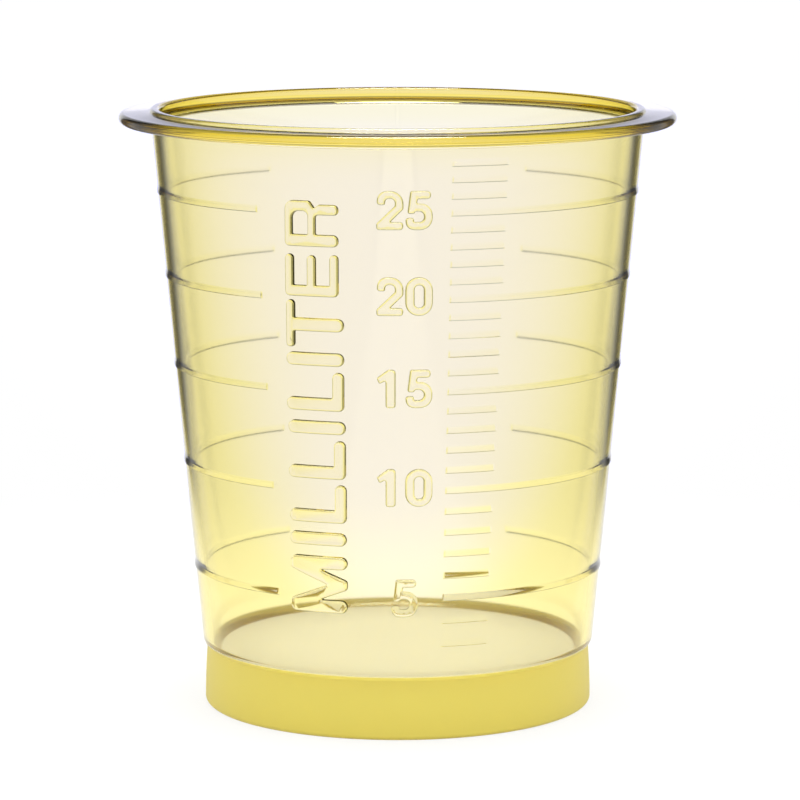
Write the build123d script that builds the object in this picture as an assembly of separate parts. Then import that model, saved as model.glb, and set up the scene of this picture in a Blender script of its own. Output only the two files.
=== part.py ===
from build123d import *
import math
import os

# Medicine cup: one thin-walled moulding in clear yellow polypropylene.
# The axis is Z, the foot stands on Z = 0, and the side with the scale faces -Y.
# All sizes are in millimetres and all angles in degrees.

# Body, a cone that opens upwards from its floor
overall_height = 43.3
foot_height = 4.1
body_top_diameter = 35.56
body_base_diameter = 28.3
body_corner_radius = 0.8
wall_thickness = 0.7

# Rim, a flat flange just under the mouth, where the wall ends in a low lip
lip_height = 0.3
rim_overhang = 2.22
rim_thickness = 0.8
rim_edge_chamfer = 0.25
mouth_chamfer = 0.2

# Floor, with the mark that the injection gate leaves under it
floor_thickness = 0.9
floor_corner_chamfer = 0.6
gate_mark_diameter = 1.2
gate_mark_height = 0.25

# Foot, a hollow skirt that leans in to a neck under the body
neck_step = 0.32
foot_flare = 0.22
foot_thickness = 1.0
foot_edge_chamfer = 0.3
recess_draft = 0.15

# Graduations, raised ribs on the outside of the wall
ring_step_ml = 5
lowest_ring_ml = 5
lowest_ring_rise = 6.2
first_mark_ml = 3
mark_relief = 0.09
mark_base_width = 0.5
mark_crest_width = 0.26
mark_root_depth = 0.3
mark_rim_clearance = 0.7

# Bearings of the graduations, from the front and growing towards +X
scale_start = 12.2
tick_span = 13.3
front_gap_start = -34.0
back_gap_half = 35.0

# Radii and levels that follow from the sizes above
body_top_radius = body_top_diameter / 2
body_base_radius = body_base_diameter / 2
rim_radius = body_top_radius + rim_overhang
neck_radius = body_base_radius - neck_step
foot_radius = neck_radius + foot_flare
recess_radius = foot_radius - foot_thickness
wall_slope = (body_top_radius - body_base_radius) / (overall_height - foot_height)
wall_step = wall_thickness * math.hypot(1, wall_slope)
rim_top = overall_height - lip_height
rim_underside = rim_top - rim_thickness
floor_underside = foot_height - floor_thickness
lowest_ring_height = foot_height + lowest_ring_rise
cubic_mm_per_ml = 1000
front_bearing = -90.0


def outer_radius(height):
    """Radius of the outside of the wall at a height."""
    return body_base_radius + wall_slope * (height - foot_height)


def inner_radius(height):
    """Radius of the bore at a height."""
    return outer_radius(height) - wall_step


def level_of(volume_ml):
    """Height that the bore fills to, counted up or down from the lowest ring."""
    start = inner_radius(lowest_ring_height)
    added = (volume_ml - lowest_ring_ml) * cubic_mm_per_ml
    radius = (start**3 + 3 * wall_slope * added / math.pi) ** (1 / 3)
    return lowest_ring_height + (radius - start) / wall_slope


def section(*points):
    """Closed outline in the XZ plane, from points of radius and height."""
    return make_face(Polyline(*[(r, 0, z) for r, z in points], close=True))


def corner(outline, r, z):
    """The outline's corner nearest to a radius and height."""
    return min(outline.vertices(), key=lambda v: math.hypot(v.X - r, v.Z - z))


def body_section():
    """Cone of the body, solid, with its lower corner rounded."""
    outline = section(
        (0, foot_height),
        (body_base_radius, foot_height),
        (body_top_radius, overall_height),
        (0, overall_height),
    )
    return fillet(corner(outline, body_base_radius, foot_height), body_corner_radius)


def rim_section():
    """Flange, as a disc with both edges broken."""
    outline = section(
        (0, rim_underside),
        (rim_radius, rim_underside),
        (rim_radius, rim_top),
        (0, rim_top),
    )
    edges = [corner(outline, rim_radius, rim_underside), corner(outline, rim_radius, rim_top)]
    return chamfer(edges, rim_edge_chamfer)


def foot_section():
    """Skirt, solid, leaning in to the neck from its foot."""
    neck_height = foot_height + body_corner_radius
    outline = section(
        (0, 0),
        (foot_radius, 0),
        (neck_radius, neck_height),
        (0, neck_height),
    )
    return chamfer(corner(outline, foot_radius, 0), foot_edge_chamfer)


def bore_section():
    """Inside of the cup, from the floor to the mouth."""
    outline = section(
        (0, foot_height),
        (inner_radius(foot_height), foot_height),
        (inner_radius(overall_height), overall_height),
        (0, overall_height),
    )
    return chamfer(corner(outline, inner_radius(foot_height), foot_height), floor_corner_chamfer)


def recess_section():
    """Hollow inside the skirt, under the floor."""
    roof_radius = recess_radius - recess_draft
    return section(
        (0, 0),
        (recess_radius, 0),
        (roof_radius, floor_underside),
        (0, floor_underside),
    )


def cup_shell():
    """The plain cup, turned from its half section."""
    half = body_section() + rim_section() + foot_section() - bore_section() - recess_section()
    half = chamfer(corner(half, inner_radius(overall_height), overall_height), mouth_chamfer)
    return revolve(half, Axis.Z)


def rib(height, start, end):
    """Raised rib round part of the wall, between two bearings."""
    half_base = mark_base_width / 2
    half_crest = mark_crest_width / 2
    crest = outer_radius(height) + mark_relief
    root = outer_radius(height) - mark_root_depth
    outline = section(
        (root, height - half_base),
        (outer_radius(height - half_base), height - half_base),
        (crest, height - half_crest),
        (crest, height + half_crest),
        (outer_radius(height + half_base), height + half_base),
        (root, height + half_base),
    )
    band = revolve(outline, Axis.Z, revolution_arc=end - start)
    return Rot(0, 0, front_bearing + start) * band


def graduations():
    """Long ribs at the rings and short ones at the other whole millilitres."""
    ribs = []
    ceiling = rim_underside - mark_rim_clearance
    volume = first_mark_ml
    while level_of(volume) + mark_base_width / 2 < ceiling:
        height = level_of(volume)
        if volume % ring_step_ml == 0:
            ribs.append(rib(height, scale_start, 180 - back_gap_half))
            ribs.append(rib(height, 180 + back_gap_half, 360 + front_gap_start))
        else:
            ribs.append(rib(height, scale_start, scale_start + tick_span))
        volume += 1
    return ribs


def gate_mark():
    """Stub that the injection gate leaves in the middle of the underside."""
    stub = Cylinder(gate_mark_diameter / 2, gate_mark_height)
    return Pos(0, 0, floor_underside - gate_mark_height / 2) * stub


cup = cup_shell() + graduations() + gate_mark()
cup.label = "cup"

os.makedirs("parts", exist_ok=True)
export_step(cup, "parts/cup.step")
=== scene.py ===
import math

import bmesh
import bpy
from mathutils import Matrix, Vector


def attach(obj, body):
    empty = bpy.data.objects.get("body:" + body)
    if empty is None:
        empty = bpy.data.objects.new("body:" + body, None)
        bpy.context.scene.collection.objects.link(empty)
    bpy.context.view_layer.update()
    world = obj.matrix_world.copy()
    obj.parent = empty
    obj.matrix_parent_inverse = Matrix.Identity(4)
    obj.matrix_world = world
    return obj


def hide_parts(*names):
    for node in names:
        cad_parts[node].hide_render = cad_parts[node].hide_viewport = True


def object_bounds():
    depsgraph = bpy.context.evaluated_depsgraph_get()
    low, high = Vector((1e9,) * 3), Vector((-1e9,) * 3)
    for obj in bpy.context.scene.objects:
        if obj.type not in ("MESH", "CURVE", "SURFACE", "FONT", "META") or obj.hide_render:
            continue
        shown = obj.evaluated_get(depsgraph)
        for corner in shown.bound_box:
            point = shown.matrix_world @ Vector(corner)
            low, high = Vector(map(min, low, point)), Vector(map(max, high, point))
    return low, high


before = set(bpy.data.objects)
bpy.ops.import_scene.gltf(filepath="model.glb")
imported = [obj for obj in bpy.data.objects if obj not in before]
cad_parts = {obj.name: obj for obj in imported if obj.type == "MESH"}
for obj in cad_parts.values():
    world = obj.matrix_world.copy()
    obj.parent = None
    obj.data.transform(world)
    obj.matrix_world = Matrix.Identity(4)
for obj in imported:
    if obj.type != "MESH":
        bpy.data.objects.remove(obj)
cad_low, cad_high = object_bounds()

# Lengths are in millimetres and angles in degrees, up to the last step of each piece
MM = 0.001

# The cup's outside, from the frame
OVERALL_HEIGHT = cad_high.z / MM
RIM_RADIUS = cad_high.y / MM

# Body, rim and floor of the moulding
FOOT_HEIGHT = 4.1
BODY_TOP_RADIUS = 17.78
BODY_BASE_RADIUS = 14.15
BODY_CORNER_RADIUS = 0.8
WALL_THICKNESS = 0.7
LIP_HEIGHT = 0.3
LIP_EDGE_RADIUS = 0.2
LIP_ROOT_RADIUS = 0.08
RIM_THICKNESS = 0.8
RIM_EDGE_RADIUS = 0.38
RIM_ROOT_RADIUS = 0.4
MOUTH_EDGE_RADIUS = 0.3
FLOOR_THICKNESS = 0.9
FLOOR_CORNER_RADIUS = 0.9
GATE_MARK_RADIUS = 0.6
GATE_MARK_HEIGHT = 0.25
GATE_MARK_EDGE = 0.1

# Skirt under the floor
FOOT_RADIUS = 14.05
NECK_RADIUS = 13.83
NECK_STEP_IN = 0.055
FOOT_THICKNESS = 1.0
FOOT_EDGE_RADIUS = 0.35
RECESS_DRAFT = 0.15
RECESS_CORNER_RADIUS = 0.5
RECESS_EDGE_RADIUS = 0.12

# Raised marks of the scale
LOWEST_RING_HEIGHT = 10.3
MARK_RELIEF = 0.06
MARK_BASE_WIDTH = 0.5
MARK_UPPER_SLOPE = 0.22
MARK_LOWER_SLOPE = 0.06
MARK_END_SLOPE = 0.12
MARKED_VOLUMES = range(3, 29)
RING_STEP = 5
SCALE_START = 12.2
TICK_SPAN = 13.3
FRONT_GAP_START = -34.0
BACK_GAP_HALF = 35.0

# Numerals beside the rings, and how far each stands above its ring
NUMERAL_CENTRE = 0.47
NUMERAL_RISE = {5: 0.02, 10: 0.25, 15: 0.25, 20: 0.25, 25: 0.2}
DIGIT_WIDTH = 1.9
DIGIT_HEIGHT = 2.7
DIGIT_PITCH = 1.97
DIGIT_RELIEF = 0.2

# The unit's name, reading up the wall: each letter, the height where it starts and its baseline's arc
UNIT_LETTERS = (
    ("M", 9.12, -3.5),
    ("I", 13.96, -3.56),
    ("L", 15.6, -3.55),
    ("L", 18.74, -3.6),
    ("I", 21.92, -3.6),
    ("L", 23.57, -3.7),
    ("I", 26.74, -3.7),
    ("T", 28.02, -3.7),
    ("E", 31.6, -4.07),
    ("R", 35.08, -4.07),
)
CAP_HEIGHT = 4.2
SHORT_CAP_HEIGHT = 3.88
STEM = 0.95
ARM = 0.64
LETTER_RELIEF = 0.28

# Raised figures have sloping sides, a rounded shoulder and a root inside the wall
SIDE_DRAFT = 8.0
SHOULDER_RADIUS = 0.14
SHOULDER_STEPS = 3
FIGURE_ROOT = 0.3

# The plastic: how rough its clear and matt parts are, and its tint, as a colour and a density per metre
REFRACTIVE_INDEX = 1.49
CLEAR_ROUGHNESS = 0.05
MATT_ROUGHNESS = 0.5
MATT_TRANSMISSION = 0.35
TINT = (0.967, 0.868, 0.027, 1.0)
TINT_DENSITY = 660.0

# Matt finish: the skirt past a slanting line of radius and height, and the floor inside a circle
SKIRT_LINE_SLOPE = 1.1
SKIRT_LINE = (10.94, 11.04)
HAZY_FLOOR_HEIGHT = (4.11, 4.2)
HAZY_FLOOR_RADIUS = (12.9, 13.2)

# How finely the round shapes are cut
TURN_STEPS = 360
CORNER_STEPS = 8
OUTLINE_STEPS = 6
STRIP_WIDTH = 0.3
WALL_TOLERANCE = 0.01
FACET_TOLERANCE = 0.03
FACET_TILT = 0.3
CREASE_LIMIT = 34.0
CONE_LIMIT = 7.0

# Camera, at the photograph's viewing angle
EYE = (0.0, -304.6, 69.54)
LOOK = (0.0, 0.0, 21.99)
LENS = 191.3
SHIFT = 0.0028

# Studio that the clear plastic sees behind the cup, painted into the emission of the paper and the world:
# white paper with a cool painted glow in its middle, painted dark bands standing for cards beside it, and a
# grey room. Each range is of tangents of the angle to the way the camera looks, as seen from the cup, and
# that of the frame as seen from the camera. Levels are shares of white.
GLOW = (1.02, 1.04, 1.98, 1.0)
GLOW_RANGE = (0.04, 0.29)
FRAME_RANGE = (0.105, 0.1365)
PAPER_RANGE = (0.33, 0.44)
PAINTED_CARD_RANGE = (0.6, 0.9)
PAINTED_CARD_LEVEL = 0.12
ROOM_LEVEL = 0.65

# Distances behind the cup, in metres, over which the glow starts, and over which it fades to a share of
# itself, and the least distance ahead that an angle is taken at
GLOW_NEAR = (0.0, 0.05)
GLOW_FAR = (0.36, 0.5)
FAR_GLOW = 0.2
NEAREST = 0.03

# Sky, by the height of a direction: white at the horizon, dimmer above it and dark overhead
HORIZON_LEVEL = 1.1
SKY_LEVEL = 0.55
SKY_RANGE = (0.09, 0.24)
OVERHEAD_SHARE = 0.15
OVERHEAD_RANGE = (0.4, 0.55)

# Plain light on matt surfaces, and how far from the axis, in metres, the paper keeps the cup's shadow
SOFT_LIGHT = 1.1
SHADOW_RANGE = (0.03, 0.09)
GLOWING_SHARE = 0.75
LAMP_POWER = 3.4
LAMP_HEIGHT = 600.0
LAMP_SIZE = 300.0
FLOOR_RADIUS = 3000.0

WALL_SLOPE = (BODY_TOP_RADIUS - BODY_BASE_RADIUS) / (OVERALL_HEIGHT - FOOT_HEIGHT)
WALL_LEAN = math.atan(WALL_SLOPE)
WALL_STEP = WALL_THICKNESS / math.cos(WALL_LEAN)
RIM_TOP = OVERALL_HEIGHT - LIP_HEIGHT
RIM_UNDERSIDE = RIM_TOP - RIM_THICKNESS
FLOOR_UNDERSIDE = FOOT_HEIGHT - FLOOR_THICKNESS


def outer_radius(height):
    """Radius of the outside of the wall at a height."""
    return BODY_BASE_RADIUS + WALL_SLOPE * (height - FOOT_HEIGHT)


def inner_radius(height):
    """Radius of the bore at a height."""
    return outer_radius(height) - WALL_STEP


def level_of(volume):
    """Height that the bore fills to, in millilitres counted from the lowest ring."""
    start = inner_radius(LOWEST_RING_HEIGHT)
    added = (volume - RING_STEP) * 1000
    radius = (start**3 + 3 * WALL_SLOPE * added / math.pi) ** (1 / 3)
    return LOWEST_RING_HEIGHT + (radius - start) / WALL_SLOPE


def arc(centre, radius, start, end, steps):
    """Points along an arc in the section's plane."""
    angles = [math.radians(start + (end - start) * i / steps) for i in range(steps + 1)]
    return [(centre[0] + radius * math.cos(a), centre[1] + radius * math.sin(a)) for a in angles]


def rounded(before, corner, after, radius, steps=CORNER_STEPS):
    """Points of the arc that rounds a corner between two straight runs."""
    corner = Vector(corner)
    towards_before = (Vector(before) - corner).normalized()
    towards_after = (Vector(after) - corner).normalized()
    half = towards_before.angle(towards_after) / 2
    middle = corner + (towards_before + towards_after).normalized() * radius / math.sin(half)
    first = corner + towards_before * radius / math.tan(half) - middle
    last = corner + towards_after * radius / math.tan(half) - middle
    turn = first.angle_signed(last)
    return [tuple(middle + Matrix.Rotation(-turn * i / steps, 2) @ first) for i in range(steps + 1)]


def new_mesh_piece(name, bm):
    """Makes a bmesh in millimetres an object in metres, at the origin."""
    bmesh.ops.scale(bm, vec=(MM, MM, MM), verts=bm.verts)
    mesh = bpy.data.meshes.new(name)
    bm.to_mesh(mesh)
    bm.free()
    piece = bpy.data.objects.new(name, mesh)
    bpy.context.scene.collection.objects.link(piece)
    return piece


def cup_outline():
    """Half section of the plain cup, from the middle of its underside round to the middle of its floor."""
    stub_bottom = FLOOR_UNDERSIDE - GATE_MARK_HEIGHT
    recess_radius = FOOT_RADIUS - FOOT_THICKNESS
    roof_radius = recess_radius - RECESS_DRAFT
    points = [(0, stub_bottom)]
    stub_corner = (GATE_MARK_RADIUS, stub_bottom)
    stub_root = (GATE_MARK_RADIUS, FLOOR_UNDERSIDE)
    recess_corner = (roof_radius, FLOOR_UNDERSIDE)
    recess_edge = (recess_radius, 0)
    foot_edge = (FOOT_RADIUS, 0)
    points += rounded((0, stub_bottom), stub_corner, stub_root, GATE_MARK_EDGE, 3)
    points.append(stub_root)
    points += rounded((0, FLOOR_UNDERSIDE), recess_corner, recess_edge, RECESS_CORNER_RADIUS)
    points += rounded(recess_corner, recess_edge, foot_edge, RECESS_EDGE_RADIUS, 4)
    points += rounded(recess_edge, foot_edge, (FOOT_RADIUS, 1), FOOT_EDGE_RADIUS)
    points += skirt_and_body_corner()
    wall_top = (outer_radius(RIM_UNDERSIDE), RIM_UNDERSIDE)
    rim_low = (RIM_RADIUS, RIM_UNDERSIDE)
    rim_high = (RIM_RADIUS, RIM_TOP)
    lip_foot = (outer_radius(RIM_TOP), RIM_TOP)
    lip = (outer_radius(OVERALL_HEIGHT), OVERALL_HEIGHT)
    mouth = (inner_radius(OVERALL_HEIGHT), OVERALL_HEIGHT)
    floor_corner = (inner_radius(FOOT_HEIGHT), FOOT_HEIGHT)
    points += rounded((outer_radius(0), 0), wall_top, rim_low, RIM_ROOT_RADIUS)
    points += rounded(wall_top, rim_low, rim_high, RIM_EDGE_RADIUS)
    points += rounded(rim_low, rim_high, lip_foot, RIM_EDGE_RADIUS)
    points += rounded(rim_high, lip_foot, lip, LIP_ROOT_RADIUS, 3)
    points += rounded(lip_foot, lip, mouth, LIP_EDGE_RADIUS)
    points += rounded(lip, mouth, floor_corner, MOUTH_EDGE_RADIUS)
    points += rounded(mouth, floor_corner, (0, FOOT_HEIGHT), FLOOR_CORNER_RADIUS)
    points.append((0, FOOT_HEIGHT))
    return points


def skirt_and_body_corner():
    """Outside of the skirt, one long arc, and the rounded lower corner of the body above it."""
    rise = FOOT_HEIGHT + BODY_CORNER_RADIUS
    lean = FOOT_RADIUS - NECK_RADIUS
    skirt_arc = (rise**2 + lean**2) / (2 * lean)
    corner_centre = (outer_radius(rise) - BODY_CORNER_RADIUS / math.cos(WALL_LEAN), rise)
    groove = NECK_RADIUS + NECK_STEP_IN
    groove_angle = -math.degrees(math.acos((groove - corner_centre[0]) / BODY_CORNER_RADIUS))
    corner = arc(corner_centre, BODY_CORNER_RADIUS, groove_angle, -math.degrees(WALL_LEAN), CORNER_STEPS)
    skirt_top = math.degrees(math.asin(corner[0][1] / skirt_arc))
    skirt_foot = math.degrees(math.asin(FOOT_EDGE_RADIUS / skirt_arc))
    skirt = arc((FOOT_RADIUS - skirt_arc, 0), skirt_arc, skirt_foot, skirt_top, CORNER_STEPS)
    return skirt[1:-1] + corner


def bearing_of(point):
    """Bearing of a point from the front, growing towards +X."""
    return math.degrees(math.atan2(point.x, -point.y))


def on_outer_wall(face):
    """True for a face of the outside of the tapered wall."""
    middle = face.calc_center_median()
    reach = math.hypot(middle.x, middle.y)
    return abs(reach - outer_radius(middle.z)) < FACET_TOLERANCE and abs(face.normal.z) < FACET_TILT


def cut_wall(bm, start, end, point, normal):
    """Cuts the outer wall with a plane, between two bearings."""
    wall = [f for f in bm.faces if on_outer_wall(f)]
    faces = [f for f in wall if start < bearing_of(f.calc_center_median()) % 360 < end]
    edges = {e for f in faces for e in f.edges}
    verts = {v for f in faces for v in f.verts}
    bmesh.ops.bisect_plane(bm, geom=[*faces, *edges, *verts], plane_co=point, plane_no=normal, dist=1e-5)


def raise_rib(bm, height, start, end):
    """Raises a rib on the wall: cuts its base and crest all round, and moves the crest out."""
    end_slope = math.degrees(MARK_END_SLOPE / outer_radius(height))
    for bearing in (start, start + end_slope, end - end_slope, end):
        turn = math.radians(bearing)
        cut_wall(bm, bearing - 1, bearing + 1, (0, 0, 0), (math.cos(turn), math.sin(turn), 0))
    low = height - MARK_BASE_WIDTH / 2
    high = height + MARK_BASE_WIDTH / 2
    crest_low = low + MARK_LOWER_SLOPE
    crest_high = high - MARK_UPPER_SLOPE
    for level in (low, crest_low, crest_high, high):
        cut_wall(bm, start, end, (0, 0, level), (0, 0, 1))
    for v in bm.verts:
        inside = start + end_slope - 0.01 < bearing_of(v.co) % 360 < end - end_slope + 0.01
        if inside and crest_low - 1e-3 < v.co.z < crest_high + 1e-3:
            reach = math.hypot(v.co.x, v.co.y)
            if abs(reach - outer_radius(v.co.z)) < WALL_TOLERANCE:
                v.co.xy *= (outer_radius(height) + MARK_RELIEF) / reach


def plain_cup():
    """The turned cup, before its rings and ticks are raised."""
    bm = bmesh.new()
    points = [bm.verts.new((r, 0, z)) for r, z in cup_outline()]
    edges = [bm.edges.new(pair) for pair in zip(points, points[1:])]
    bmesh.ops.spin(
        bm,
        geom=[*points, *edges],
        cent=(0, 0, 0),
        axis=(0, 0, 1),
        angle=math.tau,
        steps=TURN_STEPS,
        use_merge=True,
    )
    bmesh.ops.remove_doubles(bm, verts=bm.verts, dist=1e-4)
    bmesh.ops.recalc_face_normals(bm, faces=bm.faces)
    return bm


def scaled_cup():
    """The cup with all of its raised ribs."""
    bm = plain_cup()
    for volume in MARKED_VOLUMES:
        height = level_of(volume)
        if volume % RING_STEP == 0:
            raise_rib(bm, height, SCALE_START, 180 - BACK_GAP_HALF)
            raise_rib(bm, height, 180 + BACK_GAP_HALF, 360 + FRONT_GAP_START)
        else:
            raise_rib(bm, height, SCALE_START, SCALE_START + TICK_SPAN)
    return new_mesh_piece("moulding", bm)


# Raised figures, made flat with x along the wall, y up it and z out of it. Each outline is a list of
# corners, as x, y and the radius that rounds it, anticlockwise; a second outline is the figure's counter.


def digit_outlines(digit):
    """Outlines of a digit in its own box."""
    width = DIGIT_WIDTH
    top = DIGIT_HEIGHT
    if digit == "0":
        outer = [(0, 0, 0.93), (width, 0, 0.93), (width, top, 0.93), (0, top, 0.93)]
        counter = [(0.65, 0.57, 0.29), (1.27, 0.57, 0.29), (1.27, 2.13, 0.29), (0.65, 2.13, 0.29)]
        return [outer, counter]
    if digit == "1":
        return [
            [(0.62, 0, 0.2), (1.32, 0, 0.2), (1.32, top, 0.25), (0.8, top, 0.1)]
            + [(0, 2.1, 0.16), (0.2, 1.68, 0.12), (0.62, 1.92, 0.08)]
        ]
    if digit == "2":
        base = [(0, 0, 0.2), (1.84, 0, 0.25), (1.84, 0.56, 0.25), (0.95, 0.56, 0.04)]
        bowl = [(1.86, 1.45, 0.3), (1.86, top, 0.9), (0.03, top, 0.7), (0.03, 1.72, 0.24)]
        inside = [(0.6, 1.72, 0.15), (0.62, 2.16, 0.24), (1.26, 2.16, 0.28), (1.26, 1.66, 0.2)]
        return [base + bowl + inside + [(0, 0.44, 0.2)]]
    bowl = [(0.02, 0.84, 0.2), (0.02, 0, 0.6), (1.88, 0, 0.85), (1.88, 1.83, 0.8), (0.8, 1.83, 0.1)]
    bar = [(0.86, 2.13, 0.06), (1.76, 2.13, 0.27), (1.76, top, 0.27), (0.34, top, 0.16), (0.14, 1.12, 0.16)]
    inside = [(0.6, 1.12, 0.1), (0.7, 1.28, 0.08), (1.28, 1.28, 0.34), (1.28, 0.56, 0.34), (0.6, 0.56, 0.1)]
    return [bowl + bar + inside + [(0.6, 0.84, 0.14)]]


def letter_outlines(letter):
    """Outlines of a capital in its own box."""
    top = CAP_HEIGHT
    end = 0.48 * STEM
    tip = 0.48 * ARM
    if letter == "I":
        return [[(0, 0, end), (STEM, 0, end), (STEM, top, end), (0, top, end)]]
    if letter == "L":
        foot = 0.84
        base = [(0, 0, 0.4), (2.75, 0, 0.4), (2.75, foot, 0.4), (STEM, foot, 0.06)]
        return [base + [(STEM, top, end), (0, top, end)]]
    if letter == "T":
        left = 1.14
        right = left + STEM
        under = top - ARM
        stem = [(left, 0, end), (right, 0, end), (right, under, 0.06)]
        bar = [(3.33, under, tip), (3.33, top, tip), (0, top, tip), (0, under, tip), (left, under, 0.06)]
        return [stem + bar]
    if letter == "M":
        right = 4.08 - STEM
        left_half = [(0, 0, end), (STEM, 0, end), (STEM, 1.92, 0.03), (1.71, 0, 0.28)]
        right_half = [(2.37, 0, 0.28), (right, 1.92, 0.03), (right, 0, end), (4.08, 0, end)]
        above = [(4.08, top, end), (right, top, 0.25), (2.04, 1.44, 0.06), (STEM, top, 0.25)]
        return [left_half + right_half + above + [(0, top, end)]]
    top = SHORT_CAP_HEIGHT
    if letter == "E":
        side = 0.8
        corners = [(0, 0, 0.38), (2.95, 0, tip), (2.95, ARM, tip), (side, ARM, 0.05)]
        low = (top - ARM) / 2
        corners += [(side, low, 0.05), (2.9, low, tip), (2.9, low + ARM, tip), (side, low + ARM, 0.05)]
        corners += [(side, top - ARM, 0.05), (2.95, top - ARM, tip), (2.95, top, tip), (0, top, 0.38)]
        return [corners]
    stem = [(0, 0, 0.4), (0.86, 0, 0.4), (0.86, 1.62, 0.12), (2.2, 1.62, 0.2), (2.2, 0, 0.35)]
    leg = [(2.95, 0, 0.35), (2.95, 1.4, 0.2), (2.72, 1.7, 0.04)]
    bowl = [(3.2, 2.05, 0.3), (3.2, top, 0.6), (0, top, 0.38)]
    counter = [(0.86, 2.18, 0.08), (2.45, 2.18, 0.34), (2.45, top - 0.56, 0.45), (0.86, top - 0.56, 0.08)]
    return [stem + leg + bowl, counter]


def outline_points(corners):
    """Points round an outline, with its corners rounded."""
    points = []
    around = [*corners[-1:], *corners, *corners[:1]]
    for before, corner, after in zip(around, around[1:], around[2:]):
        points += rounded(before[:2], corner[:2], after[:2], corner[2], OUTLINE_STEPS)
    return points


def raised_slab(outlines, relief):
    """A flat figure with drafted sides and a rounded shoulder, standing on its root."""
    bm = bmesh.new()
    for corners in outlines:
        ring = [bm.verts.new((x, y, 0)) for x, y in outline_points(corners)]
        for pair in zip(ring, ring[1:] + ring[:1]):
            bm.edges.new(pair)
    bmesh.ops.triangle_fill(bm, use_beauty=True, edges=bm.edges)
    bmesh.ops.recalc_face_normals(bm, faces=bm.faces)
    if bm.faces[0].normal.z < 0:
        bmesh.ops.reverse_faces(bm, faces=bm.faces)
    top = list(bm.faces)
    rise = relief - SHOULDER_RADIUS
    inset(bm, top, rise * math.tan(math.radians(SIDE_DRAFT)), rise)
    for i in range(SHOULDER_STEPS):
        first = math.pi / 2 * i / SHOULDER_STEPS
        last = math.pi / 2 * (i + 1) / SHOULDER_STEPS
        inward = SHOULDER_RADIUS * (math.cos(first) - math.cos(last))
        inset(bm, top, inward, SHOULDER_RADIUS * (math.sin(last) - math.sin(first)))
    rim = [e for e in bm.edges if e.is_boundary]
    skirt = bmesh.ops.extrude_edge_only(bm, edges=rim)["geom"]
    lowered = [v for v in skirt if isinstance(v, bmesh.types.BMVert)]
    bmesh.ops.translate(bm, vec=(0, 0, -FIGURE_ROOT), verts=lowered)
    bmesh.ops.triangle_fill(bm, use_beauty=True, edges=[e for e in bm.edges if e.is_boundary])
    bmesh.ops.recalc_face_normals(bm, faces=bm.faces)
    return bm


def inset(bm, faces, thickness, depth):
    """Insets a region of faces and lifts it."""
    bmesh.ops.inset_region(
        bm,
        faces=faces,
        use_boundary=True,
        use_even_offset=True,
        thickness=thickness,
        depth=depth,
    )


def wrapped(bm, arc_start, height_start, upright):
    """Cuts a flat figure into strips and bends it round the wall. One that reads upwards is turned first."""
    if not upright:
        bmesh.ops.rotate(bm, verts=bm.verts, cent=(0, 0, 0), matrix=Matrix.Rotation(math.pi / 2, 3, "Z"))
    bmesh.ops.translate(bm, vec=(arc_start, height_start, 0), verts=bm.verts)
    low = min(v.co.x for v in bm.verts)
    high = max(v.co.x for v in bm.verts)
    for i in range(1, math.ceil((high - low) / STRIP_WIDTH)):
        plane = (low + i * STRIP_WIDTH, 0, 0)
        bmesh.ops.bisect_plane(
            bm, geom=[*bm.faces, *bm.edges, *bm.verts], plane_co=plane, plane_no=(1, 0, 0), dist=1e-4
        )
    bmesh.ops.triangulate(bm, faces=[f for f in bm.faces if len(f.verts) > 4])
    for v in bm.verts:
        radius = outer_radius(v.co.y)
        turn = v.co.x / radius
        out = radius + v.co.z
        v.co = (out * math.sin(turn), -out * math.cos(turn), v.co.y)
    return bm


def raised_figures():
    """Every numeral and letter, bent round the wall, as one mesh."""
    made = []
    for volume, rise in NUMERAL_RISE.items():
        digits = str(volume)
        left = NUMERAL_CENTRE - (DIGIT_PITCH * (len(digits) - 1) + DIGIT_WIDTH) / 2
        foot = level_of(volume) + rise - DIGIT_HEIGHT / 2
        for place, digit in enumerate(digits):
            flat = raised_slab(digit_outlines(digit), DIGIT_RELIEF)
            made.append(wrapped(flat, left + place * DIGIT_PITCH, foot, True))
    for letter, start, baseline in UNIT_LETTERS:
        flat = raised_slab(letter_outlines(letter), LETTER_RELIEF)
        made.append(wrapped(flat, baseline, start, False))
    together = bmesh.new()
    for bm in made:
        mesh = bpy.data.meshes.new("figure")
        bm.to_mesh(mesh)
        bm.free()
        together.from_mesh(mesh)
        bpy.data.meshes.remove(mesh)
    return new_mesh_piece("figures", together)


def united(base, other):
    """The union of two closed pieces, as the first of them."""
    join = base.modifiers.new("union", "BOOLEAN")
    join.operation = "UNION"
    join.solver = "EXACT"
    join.object = other
    bpy.context.view_layer.update()
    shape = bpy.data.meshes.new_from_object(base.evaluated_get(bpy.context.evaluated_depsgraph_get()))
    base.modifiers.clear()
    base.data = shape
    bpy.data.objects.remove(other)
    return base


def linear(hex_colour):
    """Linear colour, with full alpha, from an sRGB hex value."""
    shares = [int(hex_colour[i : i + 2], 16) / 255 for i in (1, 3, 5)]
    return (*[c / 12.92 if c <= 0.04045 else ((c + 0.055) / 1.055) ** 2.4 for c in shares], 1.0)


def add_node(tree, kind, settings=None, values=None, links=None):
    """Adds a node, sets its properties and input values, and links inputs to other nodes' outputs."""
    node = tree.nodes.new(kind)
    for name, value in (settings or {}).items():
        setattr(node, name, value)
    for name, value in (values or {}).items():
        node.inputs[name].default_value = value
    for name, socket in (links or {}).items():
        tree.links.new(socket, node.inputs[name])
    return node


def ramp(tree, value, span, first, last):
    """Output that runs smoothly from one level to another as a value crosses a span."""
    settings = {"interpolation_type": "SMOOTHSTEP"}
    values = {"From Min": span[0], "From Max": span[1], "To Min": first, "To Max": last}
    return add_node(tree, "ShaderNodeMapRange", settings, values, {"Value": value}).outputs["Result"]


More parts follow.
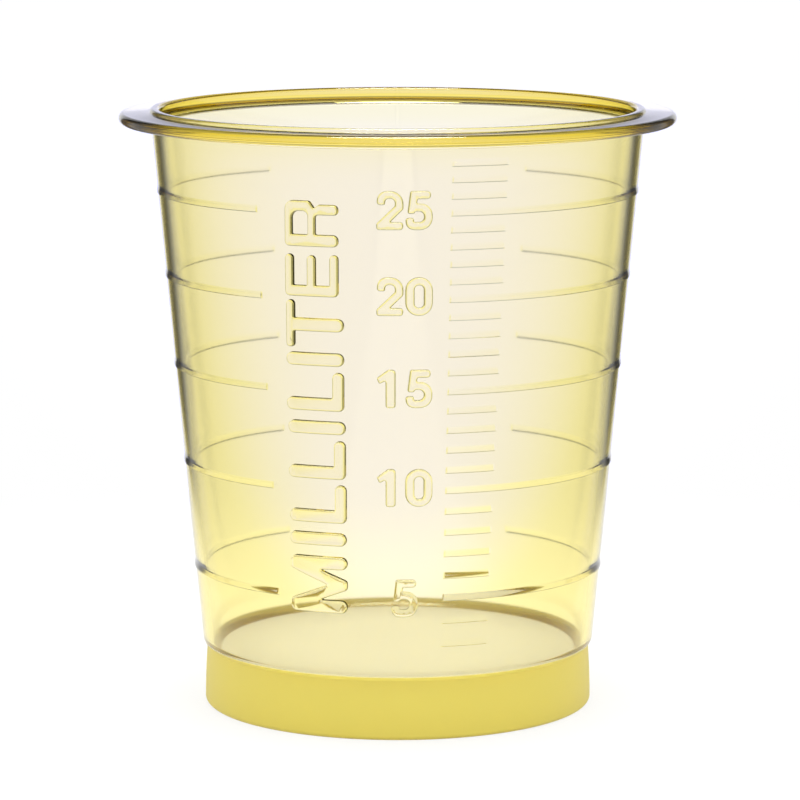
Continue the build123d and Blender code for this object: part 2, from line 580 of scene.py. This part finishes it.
def add_maths(tree, operation, first, second):
    """Output of a maths node on a socket and a number or another socket."""
    given = {"values": {1: second}, "links": {0: first}}
    if isinstance(second, bpy.types.NodeSocket):
        given = {"links": {0: first, 1: second}}
    return add_node(tree, "ShaderNodeMath", {"operation": operation}, **given).outputs[0]


def matt_shares(tree):
    """Masks of the skirt, which is past a slanting line through the neck, and of the cup's floor."""
    place = add_node(tree, "ShaderNodeTexCoord").outputs["Object"]
    flat = add_node(
        tree, "ShaderNodeVectorMath", {"operation": "MULTIPLY"}, {1: (1.0, 1.0, 0.0)}, {0: place}
    )
    reach = add_node(tree, "ShaderNodeVectorMath", {"operation": "LENGTH"}, links={0: flat.outputs[0]})
    height = add_node(tree, "ShaderNodeSeparateXYZ", links={0: place}).outputs["Z"]
    slanted = add_maths(tree, "MULTIPLY", reach.outputs["Value"], SKIRT_LINE_SLOPE)
    past_line = add_maths(tree, "SUBTRACT", slanted, height)
    skirt = ramp(tree, past_line, in_metres(SKIRT_LINE), 0.0, 1.0)
    low = ramp(tree, height, in_metres(HAZY_FLOOR_HEIGHT), 1.0, 0.0)
    inner = ramp(tree, reach.outputs["Value"], in_metres(HAZY_FLOOR_RADIUS), 1.0, 0.0)
    return skirt, add_maths(tree, "MULTIPLY", low, inner)


def in_metres(lengths):
    """Lengths in metres, from millimetres."""
    return [length * MM for length in lengths]


def clear_polypropylene():
    """Random copolymer polypropylene, injection moulded and tinted yellow right through.

    The polished tool gives a clear, glossy wall, and the blasted one a matt skirt and a hazy floor.
    """
    material = bpy.data.materials.new("clear_yellow_polypropylene")
    tree = empty_tree(material)
    output = add_node(tree, "ShaderNodeOutputMaterial")
    skirt, cup_floor = matt_shares(tree)
    matt = add_maths(tree, "MAXIMUM", skirt, cup_floor)
    colour = add_node(
        tree,
        "ShaderNodeMix",
        {"data_type": "RGBA"},
        {6: linear("#FFFFFF"), 7: linear("#EEDF62")},
        {0: skirt},
    )
    shader = add_node(
        tree,
        "ShaderNodeBsdfPrincipled",
        values={"IOR": REFRACTIVE_INDEX},
        links={
            "Base Color": colour.outputs[2],
            "Transmission Weight": ramp(tree, matt, (0.0, 1.0), 1.0, MATT_TRANSMISSION),
            "Roughness": ramp(tree, matt, (0.0, 1.0), CLEAR_ROUGHNESS, MATT_ROUGHNESS),
        },
    )
    tint = add_node(tree, "ShaderNodeVolumeAbsorption", values={"Color": TINT, "Density": TINT_DENSITY})
    tree.links.new(shader.outputs["BSDF"], output.inputs["Surface"])
    tree.links.new(tint.outputs["Volume"], output.inputs["Volume"])
    return material


def cone_normal(place, face_normal):
    """Exact normal on one of the wall's two cones, and elsewhere zero, which keeps the mesh's own."""
    reach = math.hypot(place.x, place.y) / MM
    height = place.z / MM
    if not FOOT_HEIGHT < height < OVERALL_HEIGHT:
        return Vector()
    normal = Vector((place.x, place.y, 0)).normalized()
    normal.z = -WALL_SLOPE
    normal.normalize()
    if abs(reach - inner_radius(height)) < WALL_TOLERANCE:
        normal.negate()
    elif abs(reach - outer_radius(height)) > WALL_TOLERANCE:
        return Vector()
    return normal if normal.angle(face_normal) < math.radians(CONE_LIMIT) else Vector()


def finish_shading(piece):
    """Shades a piece smooth, with creases at its sharper edges and exact normals on the wall."""
    mesh = piece.data
    bm = bmesh.new()
    bm.from_mesh(mesh)
    for face in bm.faces:
        face.smooth = True
    for edge in bm.edges:
        edge.smooth = len(edge.link_faces) == 2 and edge.calc_face_angle() < math.radians(CREASE_LIMIT)
    bm.to_mesh(mesh)
    bm.free()
    normals = [
        cone_normal(mesh.vertices[loop].co, face.normal) for face in mesh.polygons for loop in face.vertices
    ]
    mesh.normals_split_custom_set(normals)


def studio(tree, across, forward, forward_of_cup):
    """Colour and strength of the studio in one direction, as the camera and the clear plastic see it."""
    in_frame = tangent(tree, across, forward)
    bearing = tangent(tree, across, forward_of_cup)
    # Painted glow: a cool patch of stronger light behind the cup
    glow = ramp(tree, bearing, GLOW_RANGE, 1.0, 0.0)
    glow = add_maths(tree, "MULTIPLY", glow, ramp(tree, forward_of_cup, GLOW_NEAR, 0.0, 1.0))
    glow = add_maths(tree, "MULTIPLY", glow, ramp(tree, forward_of_cup, GLOW_FAR, 1.0, FAR_GLOW))
    colour = add_node(tree, "ShaderNodeMix", {"data_type": "RGBA"}, {6: (1, 1, 1, 1), 7: GLOW}, {0: glow})
    # Painted shade: beside the paper the level drops to dark bands that stand for cards, then rises to the
    # grey room
    beside = ramp(tree, bearing, PAINTED_CARD_RANGE, PAINTED_CARD_LEVEL, ROOM_LEVEL)
    past_frame = ramp(tree, in_frame, FRAME_RANGE, 0.0, 1.0)
    past_paper = ramp(tree, bearing, PAPER_RANGE, 0.0, 1.0)
    past_paper = add_maths(tree, "MINIMUM", past_frame, past_paper)
    level = add_node(tree, "ShaderNodeMix", {"data_type": "FLOAT"}, {2: 1.0}, {0: past_paper, 3: beside})
    return colour.outputs[2], level.outputs[0]


def tangent(tree, across, forward):
    """Tangent of the angle to the way ahead, on either side of it."""
    ahead = add_maths(tree, "MAXIMUM", forward, NEAREST)
    return add_maths(tree, "ABSOLUTE", add_maths(tree, "DIVIDE", across, ahead), 0.0)


def seen_directly(tree):
    """1 for rays from the camera, a reflection or a refraction, and 0 for those that light matt surfaces."""
    path = add_node(tree, "ShaderNodeLightPath")
    seen = add_maths(tree, "MAXIMUM", path.outputs["Is Camera Ray"], path.outputs["Is Glossy Ray"])
    return add_maths(tree, "MAXIMUM", seen, path.outputs["Is Transmission Ray"])


def empty_tree(owner):
    """The node tree of a material or a world, without its first nodes."""
    owner.use_nodes = True
    owner.node_tree.nodes.clear()
    return owner.node_tree


def lay_floor():
    """White paper that glows from below, and keeps a faint shadow of the cup round the foot. Its glow is
    painted by direction, for the camera, reflections and refractions only: white in the frame, a cool
    brighter patch behind the cup, and painted dark cards and a grey room beside it.
    """
    bm = bmesh.new()
    bmesh.ops.create_circle(bm, cap_ends=True, radius=FLOOR_RADIUS, segments=64)
    floor = new_mesh_piece("floor", bm)
    paper = bpy.data.materials.new("paper")
    tree = empty_tree(paper)
    output = add_node(tree, "ShaderNodeOutputMaterial")
    place = add_node(tree, "ShaderNodeTexCoord").outputs["Object"]
    split = add_node(tree, "ShaderNodeSeparateXYZ", links={0: place})
    forward = add_maths(tree, "SUBTRACT", split.outputs["Y"], EYE[1] * MM)
    colour, level = studio(tree, split.outputs["X"], forward, split.outputs["Y"])
    reach = add_node(tree, "ShaderNodeVectorMath", {"operation": "LENGTH"}, links={0: place})
    past_shadow = ramp(tree, reach.outputs["Value"], SHADOW_RANGE, GLOWING_SHARE, 1.0)
    share = add_maths(tree, "MULTIPLY", seen_directly(tree), past_shadow)
    matt = add_node(tree, "ShaderNodeBsdfDiffuse", values={"Color": linear("#F4F4F4")})
    white = add_node(tree, "ShaderNodeEmission", links={"Color": colour, "Strength": level})
    mix = add_node(tree, "ShaderNodeMixShader", links={0: share, 1: matt.outputs[0], 2: white.outputs[0]})
    tree.links.new(mix.outputs[0], output.inputs["Surface"])
    floor.data.materials.append(paper)


def light_world():
    """Even light on matt surfaces. The clear plastic sees the studio, which is darker overhead."""
    world = bpy.data.worlds.new("studio")
    bpy.context.scene.world = world
    tree = empty_tree(world)
    output = add_node(tree, "ShaderNodeOutputWorld")
    place = add_node(tree, "ShaderNodeTexCoord").outputs["Generated"]
    split = add_node(tree, "ShaderNodeSeparateXYZ", links={0: place})
    colour, level = studio(tree, split.outputs["X"], split.outputs["Y"], split.outputs["Y"])
    above = ramp(tree, split.outputs["Z"], SKY_RANGE, HORIZON_LEVEL, SKY_LEVEL)
    overhead = ramp(tree, split.outputs["Z"], OVERHEAD_RANGE, 1.0, OVERHEAD_SHARE)
    level = add_maths(tree, "MULTIPLY", level, above)
    level = add_maths(tree, "MULTIPLY", level, overhead)
    seen = seen_directly(tree)
    level = add_node(tree, "ShaderNodeMix", {"data_type": "FLOAT"}, {2: SOFT_LIGHT}, {0: seen, 3: level})
    sky = add_node(tree, "ShaderNodeBackground", links={"Color": colour, "Strength": level.outputs[0]})
    tree.links.new(sky.outputs[0], output.inputs["Surface"])


def hang_lamp():
    """Soft lamp over the cup."""
    light = bpy.data.lights.new("lamp", "AREA")
    light.shape = "DISK"
    light.size = LAMP_SIZE * MM
    light.energy = LAMP_POWER
    lamp = bpy.data.objects.new("lamp", light)
    lamp.location = (0, 0, LAMP_HEIGHT * MM)
    bpy.context.scene.collection.objects.link(lamp)


def place_camera():
    """Camera at the photograph's viewing angle."""
    camera = bpy.data.objects.new("camera", bpy.data.cameras.new("camera"))
    bpy.context.scene.collection.objects.link(camera)
    camera.data.sensor_width = 36.0
    camera.data.lens = LENS
    camera.data.shift_x = SHIFT
    camera.data.clip_start = 10 * MM
    camera.data.clip_end = 10.0
    camera.location = Vector(EYE) * MM
    camera.rotation_euler = (Vector(LOOK) - Vector(EYE)).to_track_quat("-Z", "Y").to_euler()
    bpy.context.scene.camera = camera
    bpy.context.scene.view_settings.view_transform = "Standard"


cup = scaled_cup()
cup = united(cup, raised_figures())
finish_shading(cup)
cup.data.materials.clear()
cup.data.materials.append(clear_polypropylene())
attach(cup, "root")
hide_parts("cup")

lay_floor()
light_world()
hang_lamp()
place_camera()
